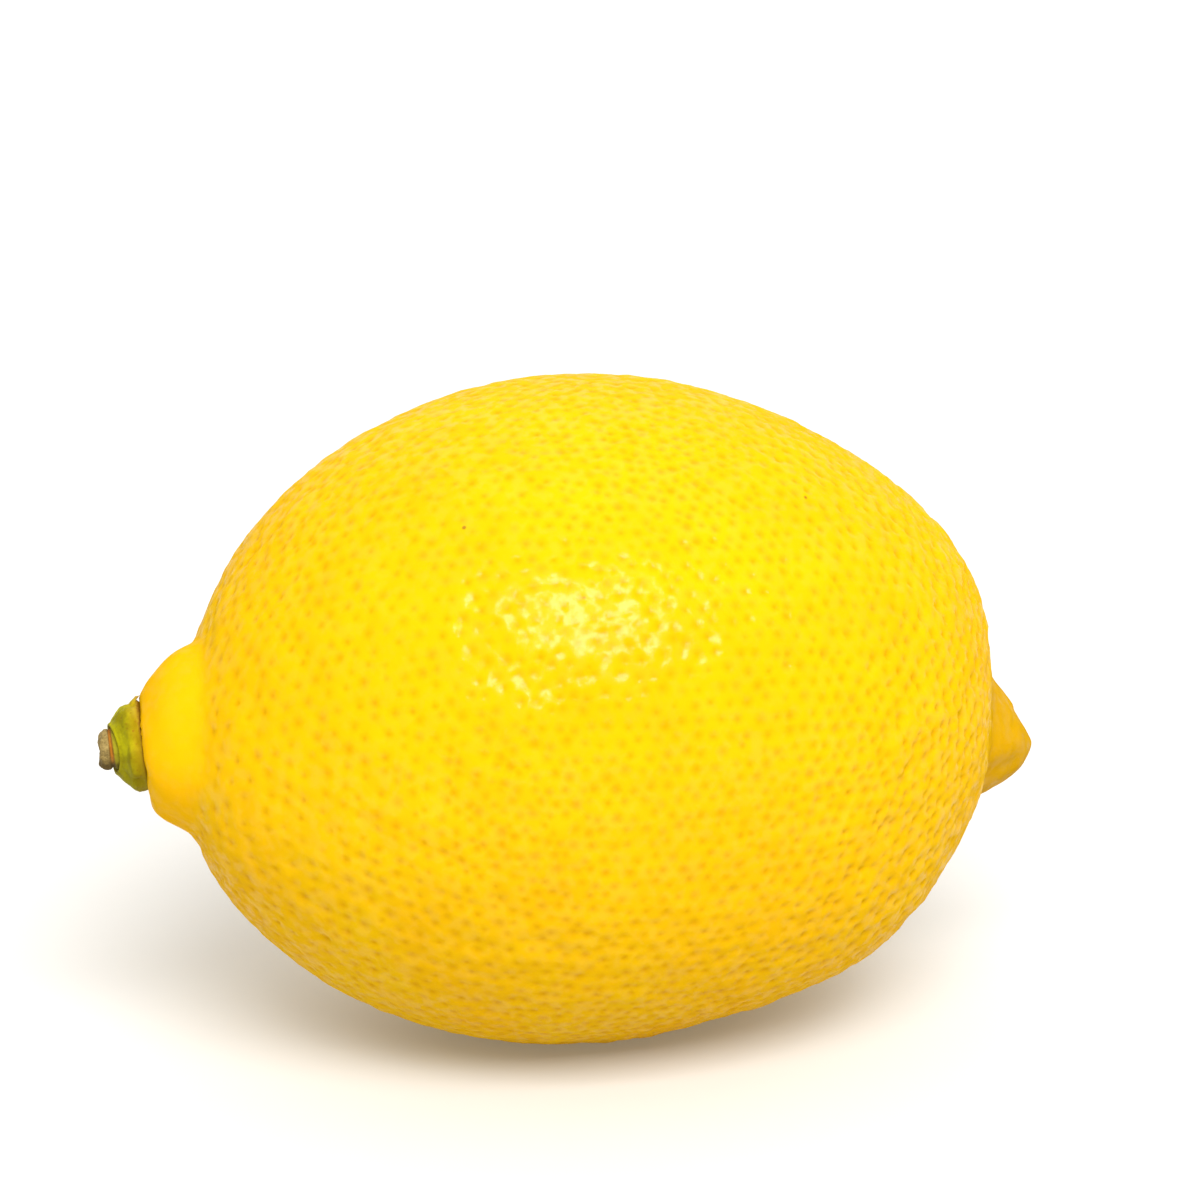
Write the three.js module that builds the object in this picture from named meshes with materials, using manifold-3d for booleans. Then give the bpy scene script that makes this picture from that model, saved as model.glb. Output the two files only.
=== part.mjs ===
// A whole lemon lying on its side: the fruit with its neck and its nipple, the green
// calyx button at the stem end, and the short cut stub of stem that stands in it.
// Millimetres, Z up. X runs along the fruit, from the stem end to the nipple.
// The origin is the middle of the small flat spot that the fruit rests on.

import * as THREE from 'three';
import { mergeVertices } from 'three/addons/utils/BufferGeometryUtils.js';
import Module from 'manifold-3d';

// Body: an ellipsoid, lying with its nipple end a little lower than its stem end
const BODY_HALF_LENGTH = 40;
const BODY_RADIUS = 32;
const PITCH_DEG = 2.2;
const CENTRE = new THREE.Vector3(1.0, -0.1, 31.85);

// Swellings and hollows of the body: where along the fruit, how far round it in degrees
// (0 is up, 180 is down, -90 is the front), how far it reaches, and how high it stands
const SWELLINGS = [
  { along: -38, round: -130, reach: 8, height: 1.8 },
  { along: -37.4, round: 44, reach: 4, height: -0.25 },
  { along: -34, round: 40, reach: 10, height: -0.6 },
  { along: -33, round: 170, reach: 9, height: 1.3 },
  { along: -31, round: 31, reach: 8, height: 0.3 },
  { along: -27, round: -172, reach: 7, height: 0.2 },
  { along: -16, round: -170, reach: 11, height: 0.9 },
  { along: -14, round: 24, reach: 9, height: 0.12 },
  { along: -2, round: -157, reach: 11, height: 0.5 },
  { along: 14, round: -150, reach: 10, height: -0.5 },
  { along: 17, round: 10, reach: 7, height: 0.27 },
  { along: 20, round: -146, reach: 8, height: -0.1 },
  { along: 22, round: 6, reach: 11, height: -0.7 },
  { along: 25, round: -142, reach: 9, height: 1.1 },
  { along: 32, round: -134, reach: 6, height: -0.22 },
  { along: 33, round: -20, reach: 10, height: 0.2 },
  { along: 36.6, round: -17, reach: 4.5, height: 0.28 },
  { along: 38, round: -70, reach: 7, height: -0.75 },
];

// Oil pits in the rind: rows of them on each side of the lattice's 20 triangles
const PIT_ROWS = 12;
const PIT_DEPTH = 0.35;
const PIT_UNEVENNESS = 0.2;
const PIT_SEED = 41;

// Neck at the stem end: where it leaves the body, how it leans, and its rounded end
const NECK_BASE = new THREE.Vector3(-39, 2.2, -1.3);
const NECK_LEAN_BACK_DEG = 12;
const NECK_DROOP_DEG = 8.5;
const NECK_RADIUS = 8.6;
const NECK_ROUNDING = 7;
const NECK_SQUARENESS_ABOVE = 1.65;
const NECK_SQUARENESS_BELOW = 2.8;
const NECK_LENGTH = 5;
const NECK_END_BELOW = 1.25;
const NECK_ROOT = 7;

// Shallow seat in the neck's end, which holds the calyx
const SEAT_RADIUS = 4.1;
const SEAT_DEPTH = 0.5;
const GAP = 0.3;

// Nipple at the blossom end: its tip, how it droops, and how it widens from the tip
const NIPPLE_TIP = new THREE.Vector3(45, -1, -6.4);
const NIPPLE_DROOP_DEG = 8;
const NIPPLE_WIDTH_ABOVE = 1.5;
const NIPPLE_WIDTH_BELOW = 2.8;
const NIPPLE_POWER_ABOVE = 0.83;
const NIPPLE_POWER_BELOW = 0.42;
const NIPPLE_LENGTH = 9;

// Calyx button: five lobes, five short sepals, and a hollow for the stub
const CALYX_RADIUS = 4.1;
const CALYX_HEIGHT = 3.1;
const CALYX_LOBE = 0.05;
const CALYX_RIM_RADIUS = 2.4;
const SEPALS_DEG = [4, 78, 151, 220, 297];
const SEPAL_REACH = 0.9;
const SEPAL_HALF_WIDTH_DEG = 13;
const SEPAL_HEIGHT = 0.5;

// Stem stub
const STUB_RADIUS = 1.9;
const STUB_FOOT_RADIUS = 1.5;
const STUB_TOP = 3.95;
const STUB_CUT_SLOPE = 0.12;
const STUB_CUT_HIGH_SIDE_DEG = 150;
const HOLLOW_RADIUS = 1.95;
const HOLLOW_FLOOR = 1.7;

const wasm = await Module();
wasm.setup();

const radians = THREE.MathUtils.degToRad;

function seededRandom(seed) {
  let state = seed >>> 0;
  return () => {
    state = (Math.imul(state, 1664525) + 1013904223) >>> 0;
    return state / 4294967296;
  };
}

// Slow rise and fall of the whole skin, a few tenths of a millimetre
function undulation(p) {
  return 0.16 * Math.sin(0.19 * p.x + 0.11 * p.y + 0.7)
    + 0.14 * Math.sin(0.17 * p.y - 0.13 * p.z + 2.1)
    + 0.14 * Math.sin(0.09 * p.x + 0.20 * p.z + 4.0);
}

function onEllipsoid(along, roundDeg) {
  const radius = BODY_RADIUS * Math.sqrt(1 - (along / BODY_HALF_LENGTH) ** 2);
  const round = radians(roundDeg);
  return new THREE.Vector3(along, radius * Math.sin(round), radius * Math.cos(round));
}

const swellings = SWELLINGS.map((s) => ({ ...s, middle: onEllipsoid(s.along, s.round) }));

// The smooth body without its pits, for a direction on the unit sphere
function bodyPoint(direction) {
  const stretch = new THREE.Vector3(BODY_HALF_LENGTH, BODY_RADIUS, BODY_RADIUS);
  const point = direction.clone().multiply(stretch);
  let rise = undulation(point);
  for (const s of swellings) {
    rise += s.height * Math.exp(-point.distanceToSquared(s.middle) / (2 * s.reach ** 2));
  }
  return point.multiplyScalar(1 + rise / point.length());
}

// Directions of the pits: an even lattice on the sphere, each point nudged sideways
function unevenLattice() {
  const sphere = new THREE.IcosahedronGeometry(1, PIT_ROWS - 1);
  sphere.deleteAttribute('normal');
  sphere.deleteAttribute('uv');
  const lattice = mergeVertices(sphere, 1e-4);
  const random = seededRandom(PIT_SEED);
  const spacing = Math.sqrt(4 * Math.PI / lattice.attributes.position.count);
  const directions = [];
  for (let i = 0; i < lattice.attributes.position.count; i += 1) {
    const nudge = new THREE.Vector3(random() - 0.5, random() - 0.5, random() - 0.5);
    nudge.multiplyScalar(2 * PIT_UNEVENNESS * spacing);
    directions.push(new THREE.Vector3().fromBufferAttribute(lattice.attributes.position, i)
      .add(nudge).normalize());
  }
  return { directions, faces: lattice.index.array };
}

// Pits are shallower towards the neck and the nipple, where the skin is smooth
function pitStrength(point) {
  const fromNeck = point.distanceTo(NECK_BASE);
  const fromNipple = point.distanceTo(NIPPLE_TIP);
  return THREE.MathUtils.smoothstep(fromNeck, 9, 16) * THREE.MathUtils.smoothstep(fromNipple, 7, 14);
}

// The pitted body. Each lattice point is the bottom of a pit, and the middles of the
// lattice's triangles are the high points round it.
function pittedBody() {
  const { directions, faces } = unevenLattice();
  const random = seededRandom(PIT_SEED + 1);
  const points = directions.map((direction) => {
    const point = bodyPoint(direction);
    const depth = PIT_DEPTH * (0.6 + 0.8 * random()) * pitStrength(point);
    return point.multiplyScalar(1 - depth / point.length());
  });
  const faceOfEdge = new Map();
  for (let f = 0; f < faces.length; f += 3) {
    const [a, b, c] = faces.slice(f, f + 3);
    const middle = directions[a].clone().add(directions[b]).add(directions[c]).normalize();
    for (const [from, to] of [[a, b], [b, c], [c, a]]) {
      faceOfEdge.set(`${from} ${to}`, points.length);
    }
    points.push(bodyPoint(middle));
  }
  const index = [];
  for (const [edge, left] of faceOfEdge) {
    const [from, to] = edge.split(' ').map(Number);
    const right = faceOfEdge.get(`${to} ${from}`);
    index.push(from, right, left);
  }
  const body = new THREE.BufferGeometry().setFromPoints(points);
  body.setIndex(index);
  return body;
}

// A shape turned round Y from pairs of radius and height, then reshaped point by point.
// The reshaping gets the angle, the radius and the height and gives back the last two.
function turned(profile, segments, reshape) {
  const outline = profile.map(([radius, height]) => new THREE.Vector2(radius, height));
  const shape = new THREE.LatheGeometry(outline, segments);
  const position = shape.attributes.position;
  for (let i = 0; i < position.count; i += 1) {
    const radius = Math.hypot(position.getX(i), position.getZ(i));
    const angle = Math.atan2(position.getX(i), position.getZ(i));
    const [newRadius, newHeight] = reshape(angle, radius, position.getY(i));
    position.setXYZ(i, newRadius * Math.sin(angle), newHeight, newRadius * Math.cos(angle));
  }
  return shape;
}

// Turns Y to point along the direction and moves the origin to the place
function setAlong(object, place, direction) {
  object.quaternion.setFromUnitVectors(new THREE.Vector3(0, 1, 0), direction);
  object.position.copy(place);
  object.updateMatrix();
  return object;
}

function stemDirection() {
  const back = radians(NECK_LEAN_BACK_DEG);
  const droop = radians(NECK_DROOP_DEG);
  return new THREE.Vector3(-Math.cos(back) * Math.cos(droop), Math.sin(back) * Math.cos(droop),
    -Math.sin(droop));
}

function nippleDirection() {
  const droop = radians(NIPPLE_DROOP_DEG);
  return new THREE.Vector3(Math.cos(droop), 0, -Math.sin(droop));
}

// 1 on the upper side of a piece that is turned round the fruit's length, 0 underneath
function upperSide(angle) {
  return 0.5 + 0.5 * Math.cos(angle);
}

// Radius of the neck's rounded end at a distance below the top of the rounding. The end
// itself is cut flat at NECK_END_BELOW, where the seat for the calyx is. The neck slopes
// on its upper side and is fuller underneath.
function neckRadius(below, angle) {
  const towards = 1 - Math.min(below / NECK_ROUNDING, 1);
  const squareness = THREE.MathUtils.lerp(NECK_SQUARENESS_BELOW, NECK_SQUARENESS_ABOVE, upperSide(angle));
  return NECK_RADIUS * (1 - towards ** squareness) ** (1 / squareness);
}

// Radius of the nipple at a distance below its tip: a cone above, a blunt bulge underneath
function nippleRadius(below, angle) {
  const width = THREE.MathUtils.lerp(NIPPLE_WIDTH_BELOW, NIPPLE_WIDTH_ABOVE, upperSide(angle));
  const power = THREE.MathUtils.lerp(NIPPLE_POWER_BELOW, NIPPLE_POWER_ABOVE, upperSide(angle));
  return width * below ** power;
}

function neck() {
  const profile = [[0, -NECK_ROOT], [NECK_RADIUS * 0.9, -NECK_ROOT]];
  for (let below = NECK_ROUNDING; below > NECK_END_BELOW; below -= 0.8) {
    profile.push([NECK_RADIUS, NECK_LENGTH + NECK_END_BELOW - below]);
  }
  profile.push([NECK_RADIUS, NECK_LENGTH], [SEAT_RADIUS + 0.1, NECK_LENGTH]);
  profile.push([SEAT_RADIUS, NECK_LENGTH - SEAT_DEPTH], [0, NECK_LENGTH - SEAT_DEPTH]);
  const shape = turned(profile, 48, (angle, radius, height) => {
    if (radius < 0.95 * NECK_RADIUS) {
      return [radius, height];
    }
    const furrows = 0.02 * Math.sin(3 * angle + 0.6) + 0.012 * Math.sin(7 * angle + 2);
    const below = NECK_LENGTH + NECK_END_BELOW - height;
    return [neckRadius(below, angle) * (1 + furrows), height];
  });
  return setGeometryAlong(shape, NECK_BASE, stemDirection());
}

function nipple() {
  const profile = [[0, -NIPPLE_LENGTH]];
  for (const below of [NIPPLE_LENGTH, 7.4, 6, 4.7, 3.5, 2.5, 1.7, 1, 0.5, 0.2, 0.05]) {
    profile.push([1, -below]);
  }
  profile.push([0, 0]);
  const shape = turned(profile, 40, (angle, radius, height) => {
    const furrows = 0.035 * Math.sin(4 * angle + 1) + 0.02 * Math.sin(9 * angle);
    return [radius * nippleRadius(-height, angle) * (1 + furrows), height];
  });
  return setGeometryAlong(shape, NIPPLE_TIP, nippleDirection());
}

function setGeometryAlong(geometry, place, direction) {
  return geometry.applyMatrix4(setAlong(new THREE.Object3D(), place, direction).matrix);
}

// Matrix from the fruit's own axes to the way it lies
function lying() {
  return new THREE.Matrix4().makeRotationY(radians(PITCH_DEG)).setPosition(CENTRE);
}

// Everything under the surface that the fruit rests on
function underground() {
  const size = 4 * BODY_HALF_LENGTH;
  return new THREE.BoxGeometry(size, size, size).translate(0, 0, -size / 2);
}

function toSolid(geometry) {
  const bare = geometry.clone();
  bare.deleteAttribute('normal');
  bare.deleteAttribute('uv');
  const merged = mergeVertices(bare, 1e-5);
  return new wasm.Manifold(new wasm.Mesh({
    numProp: 3,
    vertProperties: merged.attributes.position.array,
    triVerts: Uint32Array.from(merged.index.array),
  }));
}

function fromSolid(solid) {
  const mesh = solid.getMesh();
  const geometry = new THREE.BufferGeometry();
  geometry.setAttribute('position', new THREE.BufferAttribute(mesh.vertProperties, 3));
  geometry.setIndex(new THREE.BufferAttribute(mesh.triVerts, 1));
  geometry.computeVertexNormals();
  return geometry;
}

// The rind, neck and nipple as one solid, with the flat spot cut level underneath
function fruit() {
  const parts = [pittedBody(), neck(), nipple()];
  const [body, stemEnd, blossomEnd] = parts.map((part) => toSolid(part.applyMatrix4(lying())));
  const whole = body.add(stemEnd).add(blossomEnd).subtract(toSolid(underground()));
  const material = new THREE.MeshStandardMaterial({ color: 0xf8c808, roughness: 0.38, metalness: 0 });
  const mesh = new THREE.Mesh(fromSolid(whole), material);
  mesh.name = 'fruit';
  return mesh;
}

// How strongly a sepal stands out at an angle, from 0 between them to 1 on its middle
function sepalStrength(angle) {
  let strength = 0;
  for (const middle of SEPALS_DEG) {
    const away = THREE.MathUtils.euclideanModulo(THREE.MathUtils.radToDeg(angle) - middle + 180, 360) - 180;
    strength += Math.exp(-((away / SEPAL_HALF_WIDTH_DEG) ** 2));
  }
  return strength;
}

// The calyx button. Height 0 is the level of the neck's flat end.
function calyx() {
  const foot = GAP - SEAT_DEPTH;
  const profile = [
    [0, foot],
    [SEAT_RADIUS - 0.45, foot],
    [SEAT_RADIUS - 0.35, GAP / 2],
    [CALYX_RADIUS, SEPAL_HEIGHT - 0.1],
    [CALYX_RADIUS, SEPAL_HEIGHT + 0.3],
    [0.97 * CALYX_RADIUS, 1.3],
    [0.88 * CALYX_RADIUS, 1.9],
    [0.75 * CALYX_RADIUS, 2.5],
    [0.63 * CALYX_RADIUS, 2.9],
    [CALYX_RIM_RADIUS, CALYX_HEIGHT],
    [HOLLOW_RADIUS + 0.15, CALYX_HEIGHT - 0.25],
    [HOLLOW_RADIUS, HOLLOW_FLOOR + 0.1],
    [HOLLOW_RADIUS - 0.1, HOLLOW_FLOOR],
    [0, HOLLOW_FLOOR],
  ];
  const shape = turned(profile, 75, (angle, radius, height) => {
    const outside = THREE.MathUtils.smoothstep(radius, CALYX_RIM_RADIUS, 0.8 * CALYX_RADIUS);
    const above = THREE.MathUtils.smoothstep(height, 0, 0.4);
    const lobes = CALYX_LOBE * Math.cos(5 * angle + 2.4) + 0.02 * Math.sin(11 * angle);
    const sepal = SEPAL_REACH * sepalStrength(angle) * Math.exp(-(((height - SEPAL_HEIGHT) / 0.45) ** 2));
    return [radius * (1 + outside * above * lobes) + outside * above * sepal, height];
  });
  const material = new THREE.MeshStandardMaterial({ color: 0x8f9a12, roughness: 0.6, metalness: 0 });
  const mesh = new THREE.Mesh(shape, material);
  mesh.name = 'calyx';
  return mesh;
}

// The cut stub of stem: a narrow foot in the calyx's hollow and a wider, slanting cut end
function stemStub() {
  const foot = HOLLOW_FLOOR + GAP;
  const profile = [
    [0, foot],
    [STUB_FOOT_RADIUS - 0.1, foot],
    [STUB_FOOT_RADIUS, foot + 0.15],
    [STUB_FOOT_RADIUS, CALYX_HEIGHT - 0.2],
    [STUB_RADIUS - 0.08, CALYX_HEIGHT + 0.25],
    [STUB_RADIUS, STUB_TOP - 0.4],
    [STUB_RADIUS - 0.05, STUB_TOP - 0.15],
    [STUB_RADIUS - 0.25, STUB_TOP],
    [0.45, STUB_TOP - 0.12],
    [0, STUB_TOP - 0.15],
  ];
  const shape = turned(profile, 32, (angle, radius, height) => {
    const top = THREE.MathUtils.smoothstep(height, CALYX_HEIGHT, STUB_TOP - 0.4);
    const slant = STUB_CUT_SLOPE * radius * Math.cos(angle - radians(STUB_CUT_HIGH_SIDE_DEG));
    return [radius * (1 + 0.04 * Math.sin(3 * angle) + 0.02 * Math.sin(8 * angle)), height + top * slant];
  });
  const material = new THREE.MeshStandardMaterial({ color: 0x9c7a4a, roughness: 0.85, metalness: 0 });
  const mesh = new THREE.Mesh(shape, material);
  mesh.name = 'stem_stub';
  return mesh;
}

// The neck's flat end, with the calyx and the stub standing on it
function stemEnd() {
  const group = new THREE.Group();
  const direction = stemDirection();
  setAlong(group, NECK_BASE.clone().addScaledVector(direction, NECK_LENGTH), direction);
  group.add(calyx(), stemStub());
  return group;
}

function lemon() {
  const whole = new THREE.Group();
  const tilted = new THREE.Group();
  tilted.applyMatrix4(lying());
  tilted.add(stemEnd());
  whole.add(fruit(), tilted);
  return whole;
}

export default lemon();
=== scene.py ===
# A whole lemon lying on its side: pitted rind, green calyx button and cut stem stub,
# on a pale floor under soft light. Blender's lengths are metres. The fruit's own shape is
# worked out in millimetres, in axes that run from the stem end to the nipple.

import math

import bpy
import numpy as np
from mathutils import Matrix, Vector


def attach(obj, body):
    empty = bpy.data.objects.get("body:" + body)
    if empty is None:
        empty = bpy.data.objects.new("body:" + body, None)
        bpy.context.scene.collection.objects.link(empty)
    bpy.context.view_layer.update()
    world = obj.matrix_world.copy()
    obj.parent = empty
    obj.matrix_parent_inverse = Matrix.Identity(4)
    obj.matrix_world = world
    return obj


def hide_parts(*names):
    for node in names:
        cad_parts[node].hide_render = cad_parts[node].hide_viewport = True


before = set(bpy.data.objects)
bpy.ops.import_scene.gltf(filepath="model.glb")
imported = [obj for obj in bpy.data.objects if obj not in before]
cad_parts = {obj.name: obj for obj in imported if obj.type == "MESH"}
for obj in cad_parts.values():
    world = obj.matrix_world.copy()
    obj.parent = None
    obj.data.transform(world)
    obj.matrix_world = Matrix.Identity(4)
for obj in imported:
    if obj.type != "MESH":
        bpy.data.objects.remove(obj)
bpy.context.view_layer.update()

bl_info = {
    "name": "Lemon",
    "version": (1, 0, 0),
    "blender": (4, 5, 0),
    "location": "View3D > Sidebar > Lemon",
    "description": "Makes a fresh lemon with its calyx and stem stub on a pale floor",
    "category": "Add Mesh",
}

MM = 0.001
BODY = "root"

# The way the fruit lies, with its nipple end a little lower than its stem end, and the
# middle of its body
PITCH_DEG = 2.2
CENTRE = np.array([1.0, -0.1, 31.85])

# Slow waves of the body: how high each stands, how fast it runs along, across and up, and
# where it starts
SLOW_WAVES = (
    (0.16, (0.19, 0.11, 0.0), 0.7),
    (0.14, (0.0, 0.17, -0.13), 2.1),
    (0.14, (0.09, 0.0, 0.20), 4.0),
)

# Swellings and hollows of the body: where along the fruit, how far round it in degrees
# (0 is up, 180 is down, -90 is the front), how far each reaches and how high it stands
SWELLINGS = (
    (-38, -130, 8, 1.8),
    (-37.4, 44, 4, -0.25),
    (-34, 40, 10, -0.6),
    (-33, 170, 9, 1.3),
    (-31, 31, 8, 0.3),
    (-27, -172, 7, 0.2),
    (-16, -170, 11, 0.9),
    (-14, 24, 9, 0.12),
    (-2, -157, 11, 0.5),
    (14, -150, 10, -0.5),
    (17, 10, 7, 0.27),
    (20, -146, 8, -0.1),
    (22, 6, 11, -0.7),
    (25, -142, 9, 1.1),
    (32, -134, 6, -0.22),
    (33, -20, 10, 0.2),
    (36.6, -17, 4.5, 0.28),
    (38, -70, 7, -0.75),
    (38.5, -95, 4.5, -0.5),
)

# Neck at the stem end. Furrows are given as how many there are round the axis, where they
# start, and how high they stand as a share of the radius.
NECK_BASE = np.array([-39.0, 2.2, -1.3])
NECK_LEAN_BACK_DEG = 12.0
NECK_DROOP_DEG = 8.5
NECK_RADIUS = 8.6
NECK_ROUNDING = 7.0
NECK_SQUARENESS_ABOVE = 1.65
NECK_SQUARENESS_BELOW = 2.8
NECK_LENGTH = 5.0
NECK_TOP = 6.25
NECK_ROOT = 7.0
NECK_BLEND_ABOVE = 0.9
NECK_BLEND_BELOW = 2.0
NECK_EDGE_ROUNDING = 0.4
NECK_FURROWS = ((3, 0.6, 0.02), (7, 2, 0.012))
NECK_COLOUR_EDGE = (-0.2, 1.6)
SEAT_RADIUS = 4.1
SEAT_DEPTH = 0.5
SEAT_EDGE_INSIDE = 0.1
SEAT_EDGE_OUTSIDE = 0.5

# Nipple at the blossom end. Its outline is measured no nearer to the tip than NIPPLE_POINT,
# because at the tip itself the slope has no end.
NIPPLE_TIP = np.array([45.0, -1.0, -6.4])
NIPPLE_DROOP_DEG = 8.0
NIPPLE_WIDTH_ABOVE = 1.5
NIPPLE_WIDTH_BELOW = 2.8
NIPPLE_POWER_ABOVE = 0.83
NIPPLE_POWER_BELOW = 0.42
NIPPLE_LENGTH = 9.0
NIPPLE_BLEND = 0.6
NIPPLE_POINT = 0.02
NIPPLE_FURROWS = ((4, 1, 0.035), (9, 0, 0.02))
NIPPLE_COLOUR_EDGE = (-0.2, 2.0)

# Search for the skin along each direction: how far inside and outside the body it starts,
# and how often it halves the way between
SEARCH_INSIDE = 1.0
SEARCH_OUTSIDE = 14.0
SEARCH_HALVINGS = 24

# Oil pits: how unevenly they lie, how finely the skin between them is cut and how much of
# that is drawn to the pits, and how much closer and deeper they are at the two ends
PIT_SEED = 7
PIT_UNEVENNESS = 0.31
PIT_PARTS = 4
PIT_SQUEEZE = 0.6
GATHER_AT_NECK = 0.3
GATHER_AT_NIPPLE = 0.36
NECK_GATHER_SPREAD_DEG = 28.0
NIPPLE_GATHER_SPREAD_DEG = 45.0
DEPTH_AT_MIDDLE = 0.7
DEEPER_AT_NECK = 0.35
DEEPER_AT_NIPPLE = 1.7
DEEPER_NECK_FROM_TO = (20.0, 37.0)
DEEPER_NIPPLE_FROM_TO = (-5.0, 38.0)
PITS_LEFT_AT_ENDS = 0.1
OPEN_SKIN_FROM_NECK = (0.1, 1.4)
OPEN_SKIN_FROM_NIPPLE = (0.2, 2.4)

# One pit against another: spread of width and strength, and reach of the wide part and of
# the dark part beside the narrow one
NARROWER_AT_NIPPLE = 0.05
NARROWER_FROM_TO = (0.0, 36.0)
PIT_WIDTH_SPREAD = (0.75, 1.25)
PIT_STRENGTH_SPREAD = 0.25
PIT_STRENGTH_LIMITS = (0.4, 1.7)
# How darkly each pit is painted, darker for stronger pits: its own orange and painted shade in its
# hollow
PIT_SHADE_LEAST = 0.35
PIT_SHADE_GAIN = 0.55
PIT_SHADE_LIMIT = 1.3
PIT_SHADE_SPREAD = (0.7, 1.25)
NARROW_SHARE = 0.6
WIDE_REACH = 2.2
DARK_REACH = 1.2

# Layers of soft random lumps: how high they stand, the seed, how many waves they are made
# of, and the shortest and the longest wave
SKIN_UNEVENNESS = (
    (0.035, PIT_SEED + 2, 28, 3.0, 6.5),
    (0.022, PIT_SEED + 4, 40, 1.3, 2.6),
    (0.03, PIT_SEED + 3, 18, 8.0, 16.0),
)
NIPPLE_LUMPS = ((0.055, PIT_SEED + 5, 30, 1.6, 4.0),)
CALYX_LUMPS = ((0.07, 31, 16, 1.2, 2.6), (0.02, 32, 20, 0.4, 0.8))
STUB_LUMPS = ((0.05, 41, 16, 0.7, 1.6), (0.022, 42, 20, 0.25, 0.5))

# Calyx, measured from the neck's flat end. A sepal is given as the way it points in degrees
# (0 is up, 90 is the back) and how far it reaches.
HOLLOW_FLOOR = 1.7
RIM_DIP = 0.85
CALYX_ROWS = 70
CALYX_SEGMENTS = 120
SEPALS = ((2, 1.2), (78, 1.1), (151, 0.8), (214, 0.5), (297, 0.45))
SEPAL_SEED = 50
SEPAL_LONG_STEPS = 10
SEPAL_WIDE_STEPS = 8

# Stub: how steeply its cut face slants and which way, and the ring round it
STUB_ROWS = 64
STUB_SEGMENTS = 96
STUB_FURROWS = ((3, 0, 0.04), (8, 0, 0.02))
CUT_SLANT = 0.12
CUT_SLANT_WAY_DEG = 150
RING_HEIGHT = 2.97
RING_WIDTH = 0.16

# Floor, in metres: half its side, how far it lies under the lemon, the light that comes
# through it, and how dark its grain is
FLOOR_HALF_SIDE = 4.0
FLOOR_GAP = 0.00002
FLOOR_GLOW_COLOUR = (1.0, 0.9, 0.65)
FLOOR_GRAIN = 0.985

# Brighter patches of the tent overhead and behind: how high each stands and how far it spreads
TOP_ELEVATION_DEG = 75
TOP_SPREAD_DEG = 38
BACK_ELEVATION_DEG = 30
BACK_SPREAD_DEG = 35

# Softbox: size and distance from the lemon in metres, and how far it stands to the right of
# the camera and above it
SOFTBOX_WIDTH = 2.25
SOFTBOX_HEIGHT = 1.5
SOFTBOX_DISTANCE = 3.0
SOFTBOX_RIGHT_DEG = 13
SOFTBOX_ABOVE_DEG = 28

# Camera: sensor and width of the picture at the lemon in millimetres, and the nearest and
# farthest that it sees in metres
SENSOR_MM = 36.0
PICTURE_WIDTH_AT_LEMON = 114.85
CLIP_NEAR = 0.01
CLIP_FAR = 50


def stem_direction():
    """The way the neck and the stem point, in the fruit's own axes."""
    back = math.radians(NECK_LEAN_BACK_DEG)
    droop = math.radians(NECK_DROOP_DEG)
    level = math.cos(droop)
    return np.array([-math.cos(back) * level, math.sin(back) * level, -math.sin(droop)])


def nipple_direction():
    """The way the nipple points, in the fruit's own axes."""
    droop = math.radians(NIPPLE_DROOP_DEG)
    return np.array([math.cos(droop), 0.0, -math.sin(droop)])


def axes_along(direction):
    """A rotation that turns Y to the direction the shortest way."""
    return np.array(Vector((0, 1, 0)).rotation_difference(Vector(direction)).to_matrix())


STEM_AXES = axes_along(stem_direction())
NIPPLE_AXES = axes_along(nipple_direction())
STEM_PLACE = NECK_BASE + NECK_LENGTH * stem_direction()


def lie_down(points):
    """Takes points in the fruit's own axes to where it lies."""
    pitch = math.radians(PITCH_DEG)
    x, y, z = points.T
    along = x * math.cos(pitch) + z * math.sin(pitch)
    up = z * math.cos(pitch) - x * math.sin(pitch)
    return np.stack([along, y, up], 1) + CENTRE


def unit(vectors):
    """The same directions with a length of 1."""
    return vectors / np.linalg.norm(vectors, axis=-1, keepdims=True)


def smoothstep(value, low, high):
    """0 up to low and 1 from high on, with a soft rise between."""
    t = np.clip((value - low) / (high - low), 0, 1)
    return t * t * (3 - 2 * t)


def smooth_least(a, b, blend):
    """The lesser of two, rounded where they are about equal."""
    mix = np.clip(0.5 + 0.5 * (b - a) / blend, 0, 1)
    return b + (a - b) * mix - blend * mix * (1 - mix)


def soft_waves(points, seed, count, shortest, longest):
    """Even random unevenness of about unit height, from waves in all directions."""
    rng = np.random.default_rng(seed)
    total = np.zeros(len(points))
    for _ in range(count):
        way = unit(rng.normal(size=3))
        length = rng.uniform(shortest, longest)
        total += np.sin(points @ way * (2 * math.pi / length) + rng.uniform(0, 2 * math.pi))
    return total / math.sqrt(count / 2)


def layered_lumps(points, layers):
    """The sum of several layers of soft random lumps."""
    total = 0
    for height, seed, count, shortest, longest in layers:
        total = total + height * soft_waves(points, seed, count, shortest, longest)
    return total


def furrowed(angle, furrows):
    """A factor near 1 that gives a round outline its furrows."""
    factor = 1
    for count, start, height in furrows:
        factor = factor + height * np.sin(count * angle + start)
    return factor


def on_ellipsoid(along, round_deg, semi):
    """A point of the smooth body, from its place along the fruit and round it."""
    radius = semi[1] * math.sqrt(1 - (along / semi[0]) ** 2)
    angle = math.radians(round_deg)
    return np.array([along, radius * math.sin(angle), radius * math.cos(angle)])


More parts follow.
